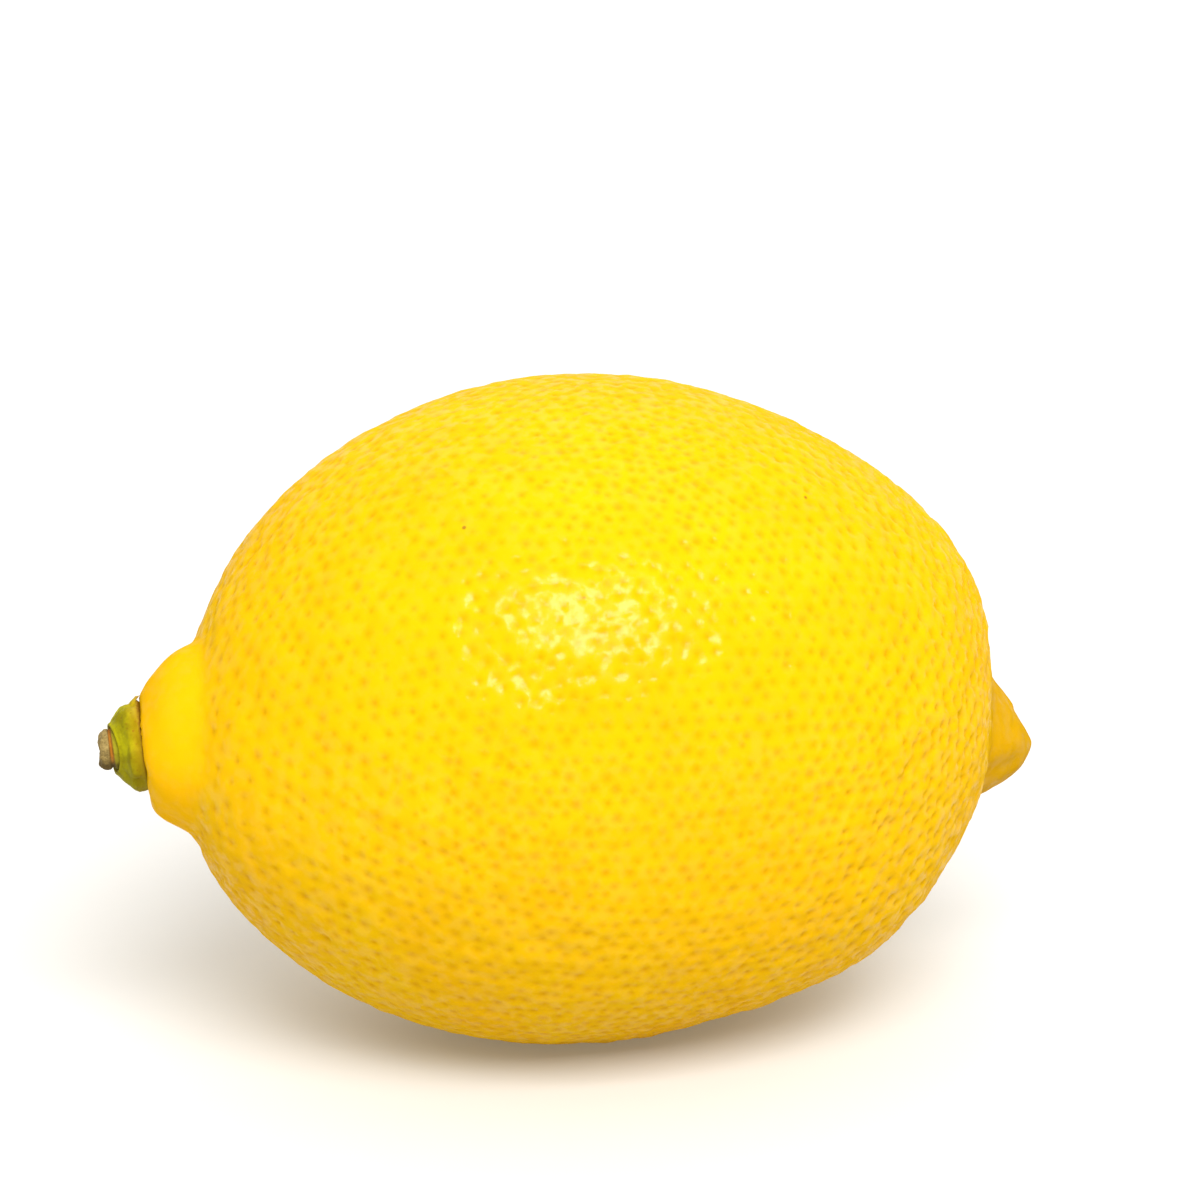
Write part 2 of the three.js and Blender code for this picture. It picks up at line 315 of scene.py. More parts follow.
def body_radius(ways, semi):
    """Distance from the middle of the fruit to its smooth body, for unit directions."""
    reach = 1 / np.linalg.norm(ways / semi, axis=1)
    point = ways * reach[:, None]
    x, y, z = point.T
    rise = np.zeros(len(ways))
    for height, pace, start in SLOW_WAVES:
        rise += height * np.sin(pace[0] * x + pace[1] * y + pace[2] * z + start)
    for along, round_deg, spread, height in SWELLINGS:
        away = ((point - on_ellipsoid(along, round_deg, semi)) ** 2).sum(1)
        rise += height * np.exp(-away / (2 * spread ** 2))
    return reach + rise


def polar(points, place, axes):
    """Radius, angle (0 on the upper side) and height of points round an axis."""
    local = (points - place) @ axes
    return np.hypot(local[:, 0], local[:, 2]), np.arctan2(local[:, 0], local[:, 2]), local[:, 1]


def between(below, above, angle):
    """A measure that differs between the upper and the lower side."""
    return below + (above - below) * (0.5 + 0.5 * np.cos(angle))


def neck_distance(points):
    """Rough signed distance to the neck, with the seat for the calyx in its flat end."""
    radius, angle, height = polar(points, NECK_BASE, STEM_AXES)
    power = between(NECK_SQUARENESS_BELOW, NECK_SQUARENESS_ABOVE, angle)
    along = np.clip((height - NECK_TOP + NECK_ROUNDING) / NECK_ROUNDING, 0, None)
    across = radius / (NECK_RADIUS * furrowed(angle, NECK_FURROWS))
    flank = NECK_RADIUS * ((across ** power + along ** power) ** (1 / power) - 1)
    outside_seat = smoothstep(radius, SEAT_RADIUS - SEAT_EDGE_INSIDE, SEAT_RADIUS + SEAT_EDGE_OUTSIDE)
    end = height - NECK_LENGTH + SEAT_DEPTH * (1 - outside_seat)
    return np.maximum(-smooth_least(-flank, -end, NECK_EDGE_ROUNDING), -NECK_ROOT - height)


def nipple_distance(points):
    """Rough signed distance to the nipple."""
    radius, angle, height = polar(points, NIPPLE_TIP, NIPPLE_AXES)
    power = between(NIPPLE_POWER_BELOW, NIPPLE_POWER_ABOVE, angle)
    width = between(NIPPLE_WIDTH_BELOW, NIPPLE_WIDTH_ABOVE, angle)
    below = np.clip(-height, NIPPLE_POINT, None)
    outline = width * furrowed(angle, NIPPLE_FURROWS) * below ** power
    slope = width * power * below ** (power - 1)
    flank = (radius - outline) / np.sqrt(1 + slope ** 2) + np.clip(height, 0, None)
    return np.maximum(flank, -NIPPLE_LENGTH - height)


def fruit_points(ways, semi):
    """Points of the smooth fruit along directions from its middle. The body, the neck
    and the nipple run into one another."""
    body = body_radius(ways, semi)
    low = body - SEARCH_INSIDE
    high = body + SEARCH_OUTSIDE
    round_neck = polar(ways * body[:, None], NECK_BASE, STEM_AXES)[1]
    neck_blend = between(NECK_BLEND_BELOW, NECK_BLEND_ABOVE, round_neck)
    for _ in range(SEARCH_HALVINGS):
        middle = 0.5 * (low + high)
        points = ways * middle[:, None]
        whole = smooth_least(middle - body, neck_distance(points), neck_blend)
        whole = smooth_least(whole, nipple_distance(points), NIPPLE_BLEND)
        low = np.where(whole < 0, middle, low)
        high = np.where(whole < 0, high, middle)
    return ways * (0.5 * (low + high))[:, None]


def gather(ways, towards, pull, spread_deg):
    """Draws directions closer together round one direction, where the pits are finer."""
    towards = unit(towards)
    angle = np.arccos(np.clip(ways @ towards, -1, 1))
    drawn = angle * (1 - pull * np.exp(-((angle / math.radians(spread_deg)) ** 2)))
    side = ways - (ways @ towards)[:, None] * towards
    length = np.linalg.norm(side, axis=1)
    side = side / np.where(length < 1e-9, 1.0, length)[:, None]
    return towards * np.cos(drawn)[:, None] + side * np.sin(drawn)[:, None]


def triangle_grid(rows):
    """Weights of the grid points, and the small triangles, of one triangle cut into rows."""
    grid = [(i, j) for i in range(rows + 1) for j in range(rows + 1 - i)]
    place = {cell: k for k, cell in enumerate(grid)}
    small = []
    for i, j in grid:
        if i + j < rows:
            small.append((place[i, j], place[i + 1, j], place[i, j + 1]))
        if i + j < rows - 1:
            small.append((place[i + 1, j], place[i + 1, j + 1], place[i, j + 1]))
    steps = np.array(grid) / rows
    weights = np.stack([1 - steps.sum(1), steps[:, 0], steps[:, 1]], 1)
    return weights, np.array(small)


def cut_up(corners, faces, rows, squeeze=0.0):
    """Cuts each face of a ball into rows of smaller ones. Returns the new directions, the
    new triangles, and the face that each direction came from. A squeeze above 0 draws the
    new corners towards the old ones."""
    weights, small = triangle_grid(rows)
    weights = weights + squeeze * (weights * weights * (3 - 2 * weights) - weights)
    weights = weights / weights.sum(1, keepdims=True)
    points = unit(np.einsum("gk,fkx->fgx", weights, corners[faces])).reshape(-1, 3)
    owner = np.repeat(np.arange(len(faces)), len(weights))
    starts = len(weights) * np.arange(len(faces))
    triangles = (small[None] + starts[:, None, None]).reshape(-1, 3)
    # Adding 0 turns -0 into 0, so that corners shared by two faces count as one
    rounded = np.round(points, 6) + 0.0
    _, first, same = np.unique(rounded, axis=0, return_index=True, return_inverse=True)
    return points[first], same.reshape(-1)[triangles], owner[first]


def icosahedron():
    """Corners and faces of the regular ball that the pits are laid out on."""
    golden = (1 + math.sqrt(5)) / 2
    corners = unit(np.array([
        (-1, golden, 0), (1, golden, 0), (-1, -golden, 0), (1, -golden, 0),
        (0, -1, golden), (0, 1, golden), (0, -1, -golden), (0, 1, -golden),
        (golden, 0, -1), (golden, 0, 1), (-golden, 0, -1), (-golden, 0, 1),
    ]))
    faces = np.array([
        (0, 11, 5), (0, 5, 1), (0, 1, 7), (0, 7, 10), (0, 10, 11), (1, 5, 9), (5, 11, 4),
        (11, 10, 2), (10, 7, 6), (7, 1, 8), (3, 9, 4), (3, 4, 2), (3, 2, 6), (3, 6, 8),
        (3, 8, 9), (4, 9, 5), (2, 4, 11), (6, 2, 10), (8, 6, 7), (9, 8, 1),
    ])
    return corners, faces


def pit_lattice(rows):
    """Directions of the pits, unevenly spread, and the triangles between them."""
    corners, faces = icosahedron()
    pits, between_pits, _ = cut_up(corners, faces, rows)
    rng = np.random.default_rng(PIT_SEED)
    spacing = math.sqrt(4 * math.pi / len(pits) * 2 / math.sqrt(3))
    nudge = unit(rng.normal(size=pits.shape)) * rng.uniform(0, 1, (len(pits), 1)) ** 0.5
    pits = unit(pits + PIT_UNEVENNESS * spacing * nudge)
    pits = gather(pits, stem_direction(), GATHER_AT_NECK, NECK_GATHER_SPREAD_DEG)
    pits = gather(pits, NIPPLE_TIP, GATHER_AT_NIPPLE, NIPPLE_GATHER_SPREAD_DEG)
    return pits, between_pits


def pit_marks(points, pits, corner_pits, settings):
    """Depth of the skin below its smooth form at each point, and how dark a pit is painted there (own
    orange and painted shade).
    """
    rng = np.random.default_rng(PIT_SEED + 1)
    count = len(pits)
    finer = 1 - NARROWER_AT_NIPPLE * smoothstep(pits[:, 0], *NARROWER_FROM_TO)
    width = settings.pit_width / MM * 0.5 * rng.uniform(*PIT_WIDTH_SPREAD, count) * finer
    strength = np.clip(rng.normal(1.0, PIT_STRENGTH_SPREAD, count), *PIT_STRENGTH_LIMITS)
    shade = PIT_SHADE_GAIN * np.clip(strength, 0, PIT_SHADE_LIMIT)
    shade = PIT_SHADE_LEAST + shade * rng.uniform(*PIT_SHADE_SPREAD, count)
    depth = np.zeros(len(points))
    dark = np.zeros(len(points))
    for k in range(3):
        pit = corner_pits[:, k]
        away = np.linalg.norm(points - pits[pit], axis=1)
        narrow = np.exp(-((away / width[pit]) ** 2))
        wide = np.exp(-((away / (WIDE_REACH * width[pit])) ** 2))
        depth += strength[pit] * (NARROW_SHARE * narrow + (1 - NARROW_SHARE) * wide)
        # The pit's painted darkness: its own orange and painted shade in the hollow
        darkened = shade[pit] * np.exp(-((away / (DARK_REACH * width[pit])) ** 2))
        dark = np.maximum(dark, darkened)
    return depth * settings.pit_depth / MM, dark


def fruit_shape(settings):
    """Points, triangles and surface values of the finely pitted fruit."""
    semi = np.array([settings.length, settings.width, settings.width]) / (2 * MM)
    pits, faces = pit_lattice(settings.pit_rows)
    ways, triangles, owner = cut_up(pits, faces, PIT_PARTS, PIT_SQUEEZE)
    points = fruit_points(ways, semi)
    pit_points = fruit_points(pits, semi)
    depth, dark = pit_marks(points, pit_points, faces[owner], settings)
    along = points[:, 0]
    deeper = DEPTH_AT_MIDDLE + DEEPER_AT_NIPPLE * smoothstep(along, *DEEPER_NIPPLE_FROM_TO)
    deeper = deeper + DEEPER_AT_NECK * smoothstep(-along, *DEEPER_NECK_FROM_TO)
    depth = depth * deeper
    from_neck = neck_distance(points)
    from_nipple = nipple_distance(points)
    open_skin = smoothstep(from_neck, *OPEN_SKIN_FROM_NECK)
    open_skin = open_skin * smoothstep(from_nipple, *OPEN_SKIN_FROM_NIPPLE)
    pitted = PITS_LEFT_AT_ENDS + (1 - PITS_LEFT_AT_ENDS) * open_skin
    near_nipple = 1 - smoothstep(from_nipple, *NIPPLE_COLOUR_EDGE)
    uneven = layered_lumps(points, SKIN_UNEVENNESS)
    sunk = depth * pitted + uneven + layered_lumps(points, NIPPLE_LUMPS) * near_nipple
    points = points - unit(ways) * sunk[:, None]
    values = {
        # How dark the pits are painted: their own orange and painted shade in their hollows
        "pit": dark * pitted,
        "neck": 1 - smoothstep(from_neck, *NECK_COLOUR_EDGE),
        "nipple": near_nipple,
    }
    lying = lie_down(points)
    # The flat spot that the fruit rests on
    lying[:, 2] = np.maximum(lying[:, 2], 0.0)
    return lying, triangles, values


def spline(points, count):
    """A smooth line through points, as count points along it."""
    points = np.array(points, dtype=float)
    ends = np.vstack([2 * points[0] - points[1], points, 2 * points[-1] - points[-2]])
    place = np.linspace(0, len(points) - 1, count)
    step = np.minimum(place.astype(int), len(points) - 2)
    t = (place - step)[:, None]
    a, b, c, d = (ends[step + k] for k in range(4))
    straight = 2 * b + (c - a) * t
    bend = (2 * a - 5 * b + 4 * c - d) * t ** 2
    turn = (3 * b - a - 3 * c + d) * t ** 3
    return 0.5 * (straight + bend + turn)


def ring_points(angle, radius, height):
    """Points round the axis from their angle, radius and height."""
    return np.stack([radius * np.sin(angle), height, radius * np.cos(angle)], -1).reshape(-1, 3)


def turned(profile, segments, reshape):
    """A closed shape turned round its axis, from a line of radius and height that starts
    and ends on the axis. The reshaping gets and gives angle, radius and height."""
    inner = profile[1:-1]
    angle = np.arange(segments) * 2 * math.pi / segments
    radius = np.repeat(inner[:, :1], segments, axis=1)
    height = np.repeat(inner[:, 1:], segments, axis=1)
    angle = np.repeat(angle[None], len(inner), axis=0)
    angle, radius, height = reshape(angle, radius, height)
    rings = ring_points(angle, radius, height)
    first = len(rings)
    points = np.vstack([rings, [0, height[0].mean(), 0], [0, height[-1].mean(), 0]])
    faces = []
    for row in range(len(inner) - 1):
        for k in range(segments):
            right = (k + 1) % segments
            low = row * segments
            faces.append((low + k, low + right, low + segments + right, low + segments + k))
    last = (len(inner) - 1) * segments
    for k in range(segments):
        right = (k + 1) % segments
        faces.append((first, right, k))
        faces.append((first + 1, last + k, last + right))
    return points, faces


def stand_on_neck(points):
    """Takes points measured from the neck's flat end to where they lie."""
    return lie_down(points @ STEM_AXES.T + STEM_PLACE)


def calyx_shape(settings):
    """Points, faces and surface values of the calyx button with its sepals."""
    wide = settings.calyx_width / MM / 2
    tall = settings.calyx_height / MM
    profile = spline([
        (0, -0.4), (0.5 * wide, -0.4), (0.9 * wide, -0.38), (1.02 * wide, -0.12),
        (1.05 * wide, 0.08), (1.01 * wide, 0.55), (0.985 * wide, 1.1), (0.93 * wide, 1.6),
        (0.85 * wide, 2.1), (0.74 * wide, 2.55), (0.64 * wide, 2.85), (0.59 * wide, tall),
        (0.54 * wide, tall - 0.03), (0.5 * wide, tall - 0.3), (0.47 * wide, 2.2),
        (0.44 * wide, HOLLOW_FLOOR), (0.25 * wide, HOLLOW_FLOOR - 0.1), (0, HOLLOW_FLOOR - 0.1),
    ], CALYX_ROWS)
    profile[0, 0] = profile[-1, 0] = 0

    def reshape(angle, radius, height):
        outside = smoothstep(radius, 0.5 * wide, 0.8 * wide) * smoothstep(height, 0.0, 0.5)
        lobes = 0.05 * np.cos(5 * angle + 2.4)
        lobes = lobes + 0.018 * np.sin(11 * angle) + 0.012 * np.sin(17 * angle + 1)
        lumps = layered_lumps(ring_points(angle, radius, height), CALYX_LUMPS)
        swell = (0.3 + 0.7 * outside) * lumps.reshape(radius.shape) * smoothstep(radius, 0, 1.5)
        front = (0.5 - 0.5 * np.sin(angle)) ** 2
        dip = RIM_DIP * front * smoothstep(height, 0.9, 2.6)
        dip = dip * smoothstep(radius, 0.46 * wide, 0.52 * wide)
        return angle, radius * (1 + outside * lobes) + swell, height - dip

    points, faces = turned(profile, CALYX_SEGMENTS, reshape)
    for k, (middle, reach) in enumerate(SEPALS):
        sepal, sepal_faces = sepal_shape(math.radians(middle), reach, wide, k)
        faces += [tuple(len(points) + c for c in face) for face in sepal_faces]
        points = np.vstack([points, sepal])
    radius = np.hypot(points[:, 0], points[:, 2])
    height = points[:, 1]
    values = {
        "foot": 1 - smoothstep(height, -0.1, 1.6),
        "edge": smoothstep(radius, 1.02 * wide, 1.2 * wide),
        # Painted shade: the lower side of the calyx
        "shaded_underside": smoothstep(-points[:, 2] / wide, -0.1, 0.9),
        "hollow": 1 - smoothstep(radius, 0.46 * wide, 0.56 * wide),
    }
    return stand_on_neck(points), faces, values


def sepal_shape(middle, reach, wide, k):
    """A short pointed sepal that lies against the neck, as a thin closed leaf."""
    rng = np.random.default_rng(SEPAL_SEED + k)
    half_width = rng.uniform(1.2, 1.6)
    lift = rng.uniform(-0.1, 0.05)
    upper = []
    lower = []
    for i in range(SEPAL_LONG_STEPS + 1):
        t = i / SEPAL_LONG_STEPS
        width = half_width * (1 - t ** 1.6) + 0.05
        for j in range(SEPAL_WIDE_STEPS + 1):
            s = 2 * j / SEPAL_WIDE_STEPS - 1
            ripple = 0.05 * math.sin(5 * t + 3 * s + k) * t
            angle = middle + s * width / (wide + t)
            radius = wide * 0.86 + reach * t - 0.08 * s * s
            height = 0.85 - 0.6 * t - 0.4 * t * t + lift * t * t - 0.14 * s * s * (1 - t) + ripple
            thick = 0.34 * (1 - 0.4 * t) * (1 - 0.5 * s * s)
            upper.append((radius * math.sin(angle), height + thick, radius * math.cos(angle)))
            lower.append((radius * math.sin(angle), height - thick, radius * math.cos(angle)))
    return np.array(upper + lower), leaf_faces(SEPAL_LONG_STEPS, SEPAL_WIDE_STEPS)


def leaf_faces(rows, columns):
    """Faces of a closed leaf made of an upper and a lower grid of points."""
    across = columns + 1
    under = (rows + 1) * across
    faces = []
    for i in range(rows):
        for j in range(columns):
            a = i * across + j
            faces.append((a, a + 1, a + across + 1, a + across))
            faces.append((under + a, under + a + across, under + a + across + 1, under + a + 1))
    rim = list(range(columns))
    rim += [i * across + columns for i in range(rows)]
    rim += [rows * across + j for j in range(columns, 0, -1)]
    rim += [i * across for i in range(rows, 0, -1)]
    for k, here in enumerate(rim):
        there = rim[(k + 1) % len(rim)]
        faces.append((there, here, under + here, under + there))
    return faces


def stub_shape(settings):
    """Points, faces and surface values of the cut stub of stem."""
    wide = settings.stub_width / MM / 2
    top = settings.stub_height / MM
    profile = spline([
        (0, 1.75), (0.6 * wide, 1.75), (0.92 * wide, 1.8), (0.99 * wide, 2.0),
        (1.03 * wide, 2.4), (1.01 * wide, 2.75), (0.94 * wide, 2.9), (0.93 * wide, 3.05),
        (1.0 * wide, 3.2), (1.01 * wide, 3.4), (0.98 * wide, 3.65), (0.9 * wide, top - 0.2),
        (0.8 * wide, top - 0.06), (0.68 * wide, top), (0.55 * wide, top - 0.05),
        (0.36 * wide, top - 0.07), (0.22 * wide, top - 0.16), (0.1 * wide, top - 0.22),
        (0, top - 0.22),
    ], STUB_ROWS)
    profile[0, 0] = profile[-1, 0] = 0
    slant_way = math.radians(CUT_SLANT_WAY_DEG)

    def reshape(angle, radius, height):
        upper = smoothstep(height, 3.0, 3.6)
        lumps = layered_lumps(ring_points(angle, radius, height), STUB_LUMPS).reshape(radius.shape)
        slant = CUT_SLANT * radius * np.cos(angle - slant_way)
        swell = 0.8 * lumps * smoothstep(radius, 0.2, 1.0)
        wider = radius * furrowed(angle, STUB_FURROWS) + swell
        return angle, wider, height + upper * (slant + lumps)

    points, faces = turned(profile, STUB_SEGMENTS, reshape)
    radius = np.hypot(points[:, 0], points[:, 2])
    height = points[:, 1]
    cut_face = top + CUT_SLANT * points[:, 2] * math.cos(slant_way)
    cut_face = cut_face + CUT_SLANT * points[:, 0] * math.sin(slant_way)
    values = {
        "cut": smoothstep(height - cut_face, -0.85, -0.7),
        "pith": 1 - smoothstep(radius, 0.15 * wide, 0.45 * wide),
        "base": 1 - smoothstep(height, 2.7, 2.85),
        "ring": np.exp(-(((height - RING_HEIGHT) / RING_WIDTH) ** 2)),
        # Painted shade: the lower side of the stub
        "shaded_low_side": smoothstep(-points[:, 2] / wide, 0.1, 0.7),
    }
    return stand_on_neck(points), faces, values


class Wire:
    """A node's output. Sums and products of wires and numbers add their Math nodes."""

    def __init__(self, bench, socket):
        self.bench = bench
        self.socket = socket

    def __add__(self, other):
        return self.bench.calculate("ADD", self, other)

    def __radd__(self, other):
        return self.bench.calculate("ADD", other, self)

    def __sub__(self, other):
        return self.bench.calculate("SUBTRACT", self, other)

    def __rsub__(self, other):
        return self.bench.calculate("SUBTRACT", other, self)

    def __mul__(self, other):
        return self.bench.calculate("MULTIPLY", self, other)

    def __rmul__(self, other):
        return self.bench.calculate("MULTIPLY", other, self)


class Bench:
    """Builds the nodes of one material or of the sky."""

    def __init__(self, tree):
        self.tree = tree
        tree.nodes.clear()

    def add(self, kind, settings, sockets, output=0):
        """Adds a node, with its settings first and then its sockets' values or links. Gives
        the output that is named, or nothing for a node that has no output."""
        node = self.tree.nodes.new(kind)
        for name, value in settings.items():
            setattr(node, name, value)
        for key, value in sockets.items():
            socket = self.find(node.inputs, key)
            if isinstance(value, Wire):
                self.tree.links.new(value.socket, socket)
            elif socket.type == "RGBA":
                socket.default_value = (*value, 1.0)
            else:
                socket.default_value = value
        return None if output is None else Wire(self, self.find(node.outputs, output))

    @staticmethod
    def find(sockets, key):
        """A socket by its place, or the one in use by its name."""
        if isinstance(key, int):
            return sockets[key]
        return next(s for s in sockets if s.name == key and s.enabled)

    def calculate(self, operation, a, b):
        """A Math node on two wires or numbers."""
        return self.add("ShaderNodeMath", {"operation": operation}, {0: a, 1: b})

    def clip(self, wire, low, high):
        """Spreads what lies from low to high over 0 to 1, and keeps the rest at the ends."""
        sockets = {"Value": wire, "From Min": low, "From Max": high}
        return self.add("ShaderNodeMapRange", {"clamp": True}, sockets, "Result")

    def mix(self, share, first, second):
        """First colour where the share is 0, second where it is 1."""
        settings = {"data_type": "RGBA", "clamp_factor": True}
        sockets = {"Factor": share, "A": first, "B": second}
        return self.add("ShaderNodeMix", settings, sockets, "Result")

    def value(self, name):
        """A surface value that was kept on the mesh."""
        settings = {"attribute_type": "GEOMETRY", "attribute_name": name}
        return self.add("ShaderNodeAttribute", settings, {}, "Fac")

    def place(self):
        """Position on the piece, in metres."""
        return self.add("ShaderNodeTexCoord", {}, {}, "Object")

    def noise(self, size, detail, roughness=0.5):
        """Noise whose patches are about size millimetres across."""
        sockets = {
            "Vector": self.place(),
            "Scale": 1 / (size * MM),
            "Detail": detail,
            "Roughness": roughness,
        }
        return self.add("ShaderNodeTexNoise", {}, sockets, "Fac")

    def spots(self, size):
        """Distance to the nearest of scattered points about size millimetres apart."""
        sockets = {"Vector": self.place(), "Scale": 1 / (size * MM)}
        return self.add("ShaderNodeTexVoronoi", {}, sockets, "Distance")

    def bump(self, height, distance):
        """A normal from a height in units of distance millimetres."""
        sockets = {"Height": height, "Distance": distance * MM, "Strength": 1.0}
        return self.add("ShaderNodeBump", {}, sockets, "Normal")

    def finish(self, sockets):
        """The surface, and the material's output."""
        surface = self.add("ShaderNodeBsdfPrincipled", {}, sockets, "BSDF")
        self.add("ShaderNodeOutputMaterial", {}, {"Surface": surface}, None)


def new_material(name):
    """A material and the bench that its nodes are built on."""
    material = bpy.data.materials.new(name)
    material.use_nodes = True
    return material, Bench(material.node_tree)


def rind_material(settings):
    """Waxy yellow rind: yellow with slow changes of hue, orange in the pits and an ochre nipple, both
    partly painted shade, soft gloss.
    """
    material, bench = new_material("lemon_rind")
    broad = bench.noise(22, detail=3)
    cloudy = bench.noise(5, detail=3, roughness=0.6)
    fine = bench.noise(0.45, detail=3, roughness=0.6)
    hue = bench.clip(broad * 0.6 + cloudy * 0.4, 0.36, 0.66)
    skin = bench.mix(hue, settings.skin_colour, settings.deep_colour)
    skin = bench.mix(bench.value("neck") * (0.5 + 0.6 * cloudy), skin, settings.neck_colour)
    # The nipple is painted darker: its own ochre, and partly painted shade
    skin = bench.mix(bench.value("nipple") * (0.75 + 0.3 * cloudy), skin, settings.nipple_ochre_and_shade_colour)
    # Painted shade: the pits' hollows are mixed towards orange, beside the pits' own orange
    pit = bench.clip(bench.value("pit"), 0.08, 1.0)
    skin = bench.mix(pit * (0.75 + 0.35 * fine), skin, settings.pit_orange_and_shade_colour)
    speck = 1 - bench.clip(bench.spots(9.0), 0.016, 0.03)
    skin = bench.mix(speck * 0.8, skin, settings.speck_colour)
    wax = bench.clip(bench.noise(1.2, detail=4, roughness=0.6), 0.46, 0.6) * (1 - 0.4 * pit)
    open_skin = 1 - 0.5 * bench.value("neck") - 0.5 * bench.value("nipple")
    bench.finish({
        "Base Color": skin,
        "Roughness": 0.4 + 0.2 * (cloudy - 0.5) + 0.1 * pit,
        "Specular IOR Level": 0.0,
        "Coat Weight": (0.05 + 0.32 * wax) * open_skin,
        "Coat Roughness": 0.14,
        "Coat IOR": 1.5,
        "Subsurface Weight": 0.05,
        "Subsurface Radius": (1.0, 0.6, 0.1),
        "Subsurface Scale": 1.0 * MM,
        "Normal": bench.bump(fine * 0.7 + cloudy * 0.3, 0.03),
    })
    return material


def calyx_material(settings):
    """Matt yellow-green, browner and speckled towards its foot, dark red-brown at the neck, painted
    shade on its underside.
    """
    material, bench = new_material("calyx_skin")
    cloudy = bench.noise(1.6, detail=4, roughness=0.6)
    fine = bench.noise(0.3, detail=4, roughness=0.7)
    foot = bench.value("foot")
    brown = settings.calyx_brown_colour
    dark = settings.calyx_olive_and_shade_colour
    skin = bench.mix(bench.clip(cloudy, 0.38, 0.62), settings.calyx_light_colour, dark)
    speck = 1 - bench.clip(bench.spots(0.55), 0.16, 0.3)
    skin = bench.mix(speck * bench.clip(cloudy + foot * 0.5, 0.5, 0.8), skin, brown)
    skin = bench.mix(foot * 0.8, skin, settings.calyx_warm_colour)
    skin = bench.mix(bench.clip(foot + fine * 0.2, 1.02, 1.12), skin, brown)
    skin = bench.mix(bench.value("edge") * 0.75, skin, settings.sepal_colour)
    skin = bench.mix(bench.value("hollow") * 0.85, skin, brown)
    # Painted shade: the calyx's lower side is mixed towards dark olive
    skin = bench.mix(bench.value("shaded_underside") * 0.7, skin, dark)
    bench.finish({
        "Base Color": skin,
        "Roughness": 0.5 + 0.25 * cloudy,
        "IOR": 1.45,
        "Specular IOR Level": 0.05,
        "Subsurface Weight": 0.06,
        "Subsurface Radius": (1.0, 0.8, 0.2),
        "Subsurface Scale": 0.5 * MM,
        "Normal": bench.bump(fine, 0.05),
    })
    return material


def stub_material(settings):
    """Dry cut stem: pale tan cut face with a dark middle, dark bark, orange-brown ring, painted shade
    on its lower side.
    """
    material, bench = new_material("stem_wood")
    cloudy = bench.noise(0.9, detail=4, roughness=0.6)
    fine = bench.noise(0.18, detail=4, roughness=0.7)
    cut = bench.value("cut")
    grain = bench.clip(fine * 0.6 + cloudy * 0.4, 0.4, 0.62)
    wood = bench.mix(grain, settings.cut_colour, settings.wood_colour)
    wood = bench.mix(bench.value("pith") * 0.7, wood, settings.bark_and_shade_colour)
    # Painted shade: the cut face turns to the bark's dark colour on its lower side
    shade = 0.35 + 0.6 * bench.clip(cloudy, 0.35, 0.5)
    wood = bench.mix(bench.value("shaded_low_side") * shade, wood, settings.bark_and_shade_colour)
    bark = bench.mix(bench.clip(cloudy, 0.4, 0.6), settings.bark_and_shade_colour, settings.wood_colour)
    # Painted shade: the olive foot of the stub is darker on its lower side
    darker = bench.value("shaded_low_side") * 0.6 + 0.4
    green = bench.mix(darker, settings.calyx_light_colour, settings.stem_olive_and_shade_colour)
    bark = bench.mix(bench.value("base") * 0.9, bark, green)
    # The ring fades out on the lower side, which is painted in shade
    ring = bench.value("ring") * (0.6 + 0.4 * fine) * (1 - bench.value("shaded_low_side"))
    bark = bench.mix(ring, bark, settings.ring_colour)
    bench.finish({
        "Base Color": bench.mix(cut, bark, wood),
        "Roughness": 0.75 + 0.2 * fine,
        "IOR": 1.45,
        "Specular IOR Level": 0.3,
        "Normal": bench.bump(fine, 0.06),
    })
    return material


def floor_material(settings):
    """Plain pale translucent board, faintly lit from below."""
    material, bench = new_material("pale_floor")
    grain = bench.noise(2.0, detail=3)
    darker = tuple(FLOOR_GRAIN * c for c in settings.floor_colour)
    bench.finish({
        "Base Color": bench.mix(grain, settings.floor_colour, darker),
        "Roughness": 0.9,
        "Specular IOR Level": 0.1,
        "Emission Color": FLOOR_GLOW_COLOUR,
        "Emission Strength": settings.floor_glow,
    })
    return material


def new_piece(name, points, faces, values, material):
    """A smooth mesh object from millimetres, with its surface values and material."""
    mesh = bpy.data.meshes.new(name)
    corners = (np.asarray(points) * MM).tolist()
    mesh.from_pydata(corners, [], [tuple(int(corner) for corner in face) for face in faces])
    mesh.polygons.foreach_set("use_smooth", np.ones(len(mesh.polygons), dtype=bool))
    for value_name, value in values.items():
        layer = mesh.attributes.new(value_name, "FLOAT", "POINT")
        layer.data.foreach_set("value", np.asarray(value, dtype=np.float32))
    mesh.materials.append(material)
    if mesh.validate():
        raise RuntimeError(f"{name} has faces that aren't sound")
    piece = bpy.data.objects.new(name, mesh)
    bpy.context.scene.collection.objects.link(piece)
    return piece


def put_in_place(piece, node):
    """Rides the piece on the fruit's body in place of the CAD node."""
    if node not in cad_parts:
        raise RuntimeError(f"the frame has no node named {node}")
    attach(piece, BODY)
    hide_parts(node)


def colour_property(name, description, default):
    """A colour that a user can change."""
    return bpy.props.FloatVectorProperty(
        name=name, description=description, subtype="COLOR", size=3, min=0, max=1, default=default)


def length_property(name, description, default):
    """A length that a user can change, in metres."""
    return bpy.props.FloatProperty(
        name=name, description=description, unit="LENGTH", min=0, default=default)


